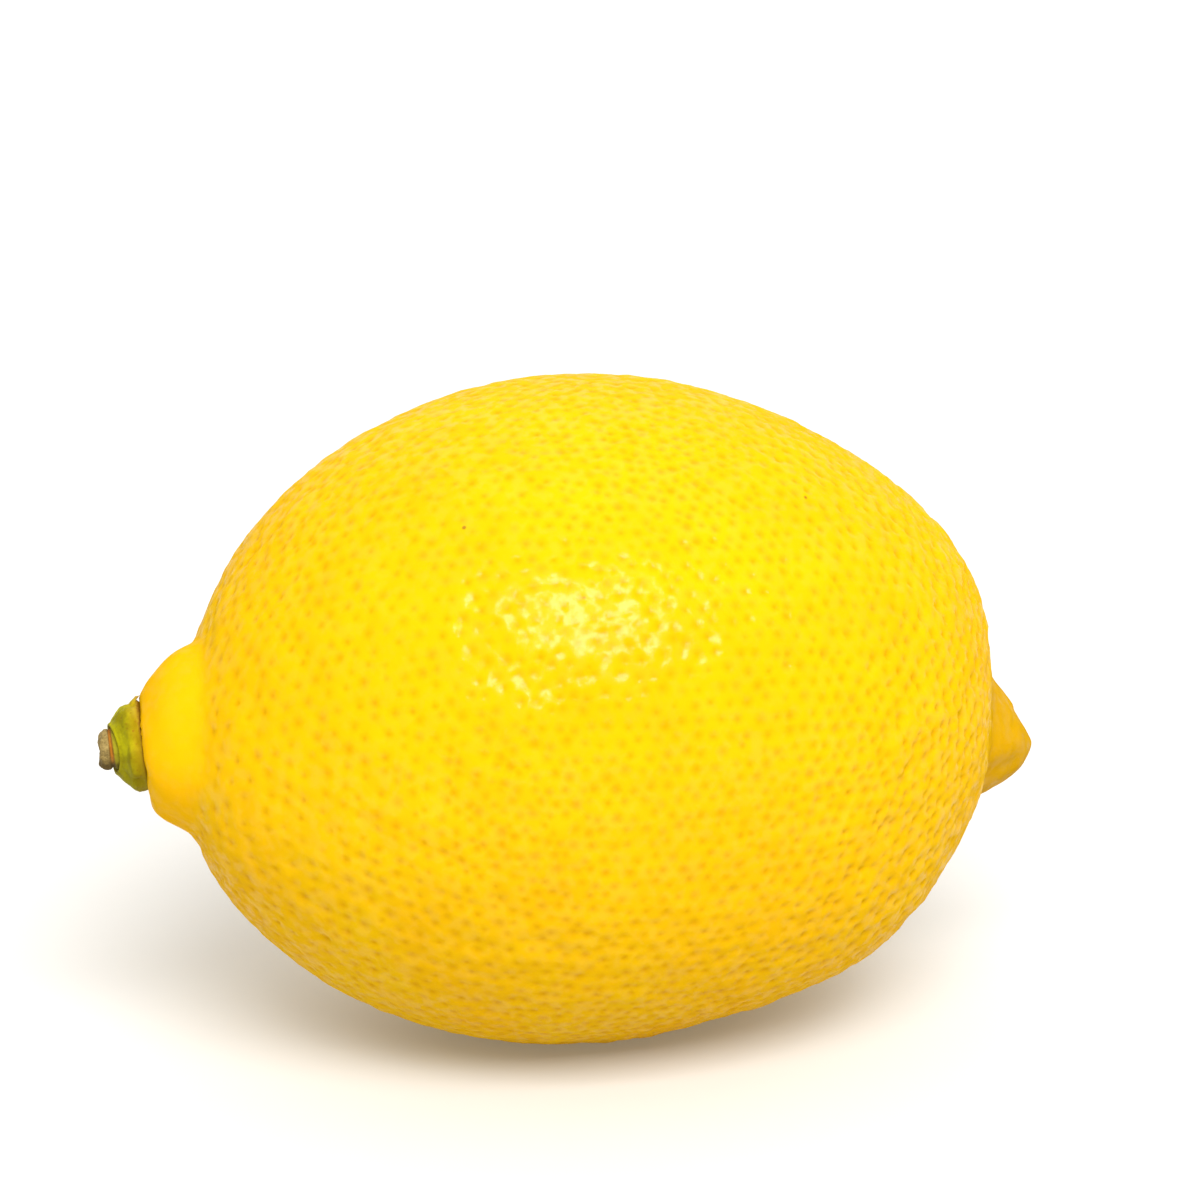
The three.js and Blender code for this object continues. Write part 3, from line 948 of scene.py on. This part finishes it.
class LemonFruitSettings(bpy.types.PropertyGroup):
    length: length_property("Body length", "Length of the body without its neck and nipple", 0.080)
    width: length_property("Body width", "Diameter of the body at its middle", 0.064)
    pit_rows: bpy.props.IntProperty(
        name="Pit rows", description="Rows of oil pits along each side of the lattice",
        min=4, max=24, default=24)
    pit_depth: length_property("Pit depth", "Usual depth of an oil pit", 0.0002)
    pit_width: length_property("Pit width", "Usual width of an oil pit", 0.00072)
    skin_colour: colour_property("Skin", "Yellow of the rind", (0.66, 0.402, 0.0012))
    deep_colour: colour_property(
        "Deep skin", "Warmer yellow of the rind's patches and ends", (0.655, 0.352, 0.0012))
    neck_colour: colour_property("Neck", "Deeper yellow of the neck", (0.68, 0.355, 0.002))
    # Ochre of the nipple, darkened in part as painted shade
    nipple_ochre_and_shade_colour: colour_property("Nipple", "Ochre of the nipple", (0.48, 0.25, 0.002))
    # Orange of the oil pits together with painted shade in their hollows
    pit_orange_and_shade_colour: colour_property("Pits", "Orange in the oil pits", (0.56, 0.28, 0.001))
    speck_colour: colour_property("Specks", "Brown of the few small specks", (0.22, 0.09, 0.01))


class LemonStemSettings(bpy.types.PropertyGroup):
    calyx_width: length_property("Calyx width", "Diameter of the calyx button", 0.0082)
    calyx_height: length_property("Calyx height", "Height of the button above the neck", 0.0031)
    stub_width: length_property("Stub width", "Diameter of the cut stub of stem", 0.0038)
    stub_height: length_property("Stub height", "Height of the stub's cut face above the neck", 0.0041)
    calyx_light_colour: colour_property(
        "Calyx light", "Yellow-green of the calyx", (0.33, 0.30, 0.003))
    # Olive of the calyx's own mottling, also used for the painted shade on its underside
    calyx_olive_and_shade_colour: colour_property("Calyx dark", "Olive of the calyx", (0.20, 0.17, 0.002))
    calyx_warm_colour: colour_property(
        "Calyx warm", "Ochre of the calyx towards the neck", (0.34, 0.205, 0.002))
    calyx_brown_colour: colour_property(
        "Calyx brown", "Red-brown at the foot and in the specks", (0.17, 0.07, 0.004))
    sepal_colour: colour_property("Sepals", "Dry brown tips of the sepals", (0.38, 0.27, 0.05))
    cut_colour: colour_property("Cut wood", "Pale cut face of the stub", (0.31, 0.22, 0.07))
    wood_colour: colour_property("Wood", "Darker wood of the stub", (0.13, 0.085, 0.02))
    # Dark bark and pith, also used for the painted shade on the cut face's lower side
    bark_and_shade_colour: colour_property("Bark", "Dark bark and pith of the stub", (0.09, 0.055, 0.008))
    # Olive of the stub's foot, darker on its lower side as painted shade
    stem_olive_and_shade_colour: colour_property(
        "Stem green", "Dark olive of the stub's foot", (0.16, 0.13, 0.002))
    ring_colour: colour_property("Ring", "Orange-brown ring round the stub", (0.40, 0.13, 0.003))


class LemonStageSettings(bpy.types.PropertyGroup):
    azimuth: bpy.props.FloatProperty(
        name="Azimuth", description="How far the camera stands round the lemon",
        subtype="ANGLE", default=math.radians(-18))
    elevation: bpy.props.FloatProperty(
        name="Elevation", description="How far the camera looks down",
        subtype="ANGLE", default=math.radians(18))
    distance: length_property("Distance", "Camera's distance from the lemon", 0.6)
    target: bpy.props.FloatVectorProperty(
        name="Target", description="Point in the middle of the picture",
        subtype="TRANSLATION", unit="LENGTH", default=(0.00158, -0.0001, 0.04243))
    floor_colour: colour_property("Floor", "Pale floor", (0.55, 0.55, 0.55))
    floor_glow: bpy.props.FloatProperty(
        name="Floor glow", description="Light that comes through the floor from below",
        min=0, default=0.17)
    tent_strength: bpy.props.FloatProperty(
        name="Tent", description="Brightness of the whole tent", min=0, default=0.48)
    top_strength: bpy.props.FloatProperty(
        name="Top", description="Further brightness of the tent overhead", min=0, default=0.62)
    back_strength: bpy.props.FloatProperty(
        name="Back", description="Further brightness of the tent behind the lemon",
        min=0, default=0.55)
    lamp_power: bpy.props.FloatProperty(
        name="Softbox", description="Power of the softbox over the camera",
        unit="POWER", min=0, default=142.0)


class LEMON_OT_fruit(bpy.types.Operator):
    """Makes the pitted fruit with its neck and nipple"""
    bl_idname = "lemon.fruit"
    bl_label = "Fruit"

    def execute(self, context):
        settings = context.scene.lemon_fruit
        points, triangles, values = fruit_shape(settings)
        piece = new_piece("lemon_fruit", points, triangles, values, rind_material(settings))
        put_in_place(piece, "fruit")
        return {"FINISHED"}


class LEMON_OT_calyx(bpy.types.Operator):
    """Makes the green calyx button with its sepals"""
    bl_idname = "lemon.calyx"
    bl_label = "Calyx"

    def execute(self, context):
        settings = context.scene.lemon_stem
        points, faces, values = calyx_shape(settings)
        piece = new_piece("calyx_button", points, faces, values, calyx_material(settings))
        put_in_place(piece, "calyx")
        return {"FINISHED"}


class LEMON_OT_stub(bpy.types.Operator):
    """Makes the cut stub of stem"""
    bl_idname = "lemon.stub"
    bl_label = "Stem stub"

    def execute(self, context):
        settings = context.scene.lemon_stem
        points, faces, values = stub_shape(settings)
        piece = new_piece("cut_stub", points, faces, values, stub_material(settings))
        put_in_place(piece, "stem_stub")
        return {"FINISHED"}


class LEMON_OT_stage(bpy.types.Operator):
    """Makes the floor, the light and the camera"""
    bl_idname = "lemon.stage"
    bl_label = "Stage"

    def execute(self, context):
        settings = context.scene.lemon_stage
        make_floor(settings)
        make_sky(settings)
        make_softbox(settings)
        make_camera(settings)
        context.scene.view_settings.view_transform = "Standard"
        context.scene.view_settings.look = "None"
        return {"FINISHED"}


def make_floor(settings):
    """A plain square floor just under the lemon."""
    half = FLOOR_HALF_SIDE
    below = -FLOOR_GAP
    mesh = bpy.data.meshes.new("floor")
    corners = [(x, y, below) for x, y in ((-half, -half), (half, -half), (half, half), (-half, half))]
    mesh.from_pydata(corners, [], [(0, 1, 2, 3)])
    mesh.materials.append(floor_material(settings))
    floor = bpy.data.objects.new("floor", mesh)
    bpy.context.scene.collection.objects.link(floor)


def glow(bench, middle, spread_deg):
    """A soft round patch of light in the sky, 1 in the middle."""
    way = bench.add("ShaderNodeTexCoord", {}, {}, "Generated")
    product = {"operation": "DOT_PRODUCT"}
    near = bench.add("ShaderNodeVectorMath", product, {0: way, 1: middle}, "Value")
    fall = (near - 1.0) * (1 / math.radians(spread_deg) ** 2)
    return bench.add("ShaderNodeMath", {"operation": "EXPONENT"}, {0: fall})


def make_sky(settings):
    """A white tent: brighter overhead and behind the lemon."""
    world = bpy.data.worlds.new("soft_tent")
    bpy.context.scene.world = world
    world.use_nodes = True
    bench = Bench(world.node_tree)
    top = direction_to(settings.azimuth + math.pi, math.radians(TOP_ELEVATION_DEG))
    back = direction_to(settings.azimuth + math.pi, math.radians(BACK_ELEVATION_DEG))
    strength = settings.tent_strength + glow(bench, top, TOP_SPREAD_DEG) * settings.top_strength
    strength = strength + glow(bench, back, BACK_SPREAD_DEG) * settings.back_strength
    sockets = {"Color": (1, 1, 1), "Strength": strength}
    light = bench.add("ShaderNodeBackground", {}, sockets, "Background")
    bench.add("ShaderNodeOutputWorld", {}, {"Surface": light}, None)


def aim(thing, away):
    """Turns a light or camera to look against the direction away."""
    thing.rotation_euler = away.to_track_quat("Z", "Y").to_euler()


def direction_to(azimuth, elevation):
    """From the lemon towards a viewpoint. Azimuth 0 is in front, on the side of -Y."""
    level = math.cos(elevation)
    return Vector((math.sin(azimuth) * level, -math.cos(azimuth) * level, math.sin(elevation)))


def make_softbox(settings):
    """A large softbox above the camera and a little to its right. Its reflection, broken up
    by the pits, is the patchy highlight."""
    light = bpy.data.lights.new("softbox", "AREA")
    light.shape = "RECTANGLE"
    light.size = SOFTBOX_WIDTH
    light.size_y = SOFTBOX_HEIGHT
    light.energy = settings.lamp_power
    softbox = bpy.data.objects.new("softbox", light)
    azimuth = settings.azimuth + math.radians(SOFTBOX_RIGHT_DEG)
    away = direction_to(azimuth, settings.elevation + math.radians(SOFTBOX_ABOVE_DEG))
    softbox.location = Vector(settings.target) + away * SOFTBOX_DISTANCE
    aim(softbox, away)
    bpy.context.scene.collection.objects.link(softbox)


def make_camera(settings):
    """The camera, which looks at the target from the front and a little from above."""
    camera = bpy.data.cameras.new("camera")
    camera.sensor_width = SENSOR_MM
    camera.lens = SENSOR_MM * settings.distance / (PICTURE_WIDTH_AT_LEMON * MM)
    camera.clip_start = CLIP_NEAR
    camera.clip_end = CLIP_FAR
    holder = bpy.data.objects.new("camera", camera)
    away = direction_to(settings.azimuth, settings.elevation)
    holder.location = Vector(settings.target) + away * settings.distance
    aim(holder, away)
    bpy.context.scene.collection.objects.link(holder)
    bpy.context.scene.camera = holder


class LEMON_PT_panel(bpy.types.Panel):
    """Lists the lemon's pieces and their sizes"""
    bl_idname = "LEMON_PT_panel"
    bl_label = "Lemon"
    bl_space_type = "VIEW_3D"
    bl_region_type = "UI"
    bl_category = "Lemon"

    def draw(self, context):
        for group, operators in PANEL_ROWS:
            box = self.layout.box()
            settings = getattr(context.scene, group)
            for name in settings.bl_rna.properties.keys():
                if name not in ("rna_type", "name"):
                    box.prop(settings, name)
            for operator in operators:
                box.operator(operator.bl_idname)


SETTINGS = (
    ("lemon_fruit", LemonFruitSettings),
    ("lemon_stem", LemonStemSettings),
    ("lemon_stage", LemonStageSettings),
)
OPERATORS = (LEMON_OT_fruit, LEMON_OT_calyx, LEMON_OT_stub, LEMON_OT_stage)
PANEL_ROWS = (
    ("lemon_fruit", (LEMON_OT_fruit,)),
    ("lemon_stem", (LEMON_OT_calyx, LEMON_OT_stub)),
    ("lemon_stage", (LEMON_OT_stage,)),
)


def register():
    for name, group in SETTINGS:
        bpy.utils.register_class(group)
        setattr(bpy.types.Scene, name, bpy.props.PointerProperty(type=group))
    for operator in OPERATORS:
        bpy.utils.register_class(operator)
    bpy.utils.register_class(LEMON_PT_panel)


def unregister():
    bpy.utils.unregister_class(LEMON_PT_panel)
    for operator in reversed(OPERATORS):
        bpy.utils.unregister_class(operator)
    for name, group in reversed(SETTINGS):
        delattr(bpy.types.Scene, name)
        bpy.utils.unregister_class(group)


def main():
    register()
    bpy.ops.lemon.stage()
    bpy.ops.lemon.fruit()
    bpy.ops.lemon.calyx()
    bpy.ops.lemon.stub()


if __name__ == "__main__":
    main()
